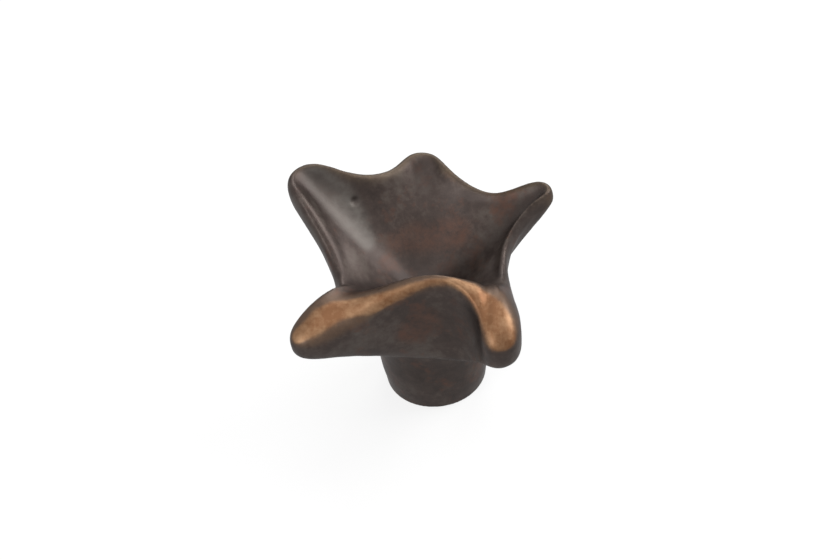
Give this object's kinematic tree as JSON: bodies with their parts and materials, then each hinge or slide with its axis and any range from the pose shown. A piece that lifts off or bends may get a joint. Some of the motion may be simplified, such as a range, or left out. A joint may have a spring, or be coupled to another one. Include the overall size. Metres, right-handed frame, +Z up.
{
  "type": "cabinet knob",
  "caption": "Cast furniture knob: an open dish with unlike bent arms and a tall front wall, on a flared round stem that is tapped from below for a screw.",
  "frame": {"origin": "centre of the foot's flat face, on the axis of the tapped hole", "axes": "+Z up the stem, away from the door or drawer front; -Y towards the tall front wall of the dish"},
  "size_m": [0.0435, 0.0408, 0.0357],
  "materials": {
    "bronze": "dark rubbed bronze patina, satin, worn to copper on the high edges"
  },
  "bodies": {
    "root": {"knob_casting": "bronze"}
  },
  "joints": []
}
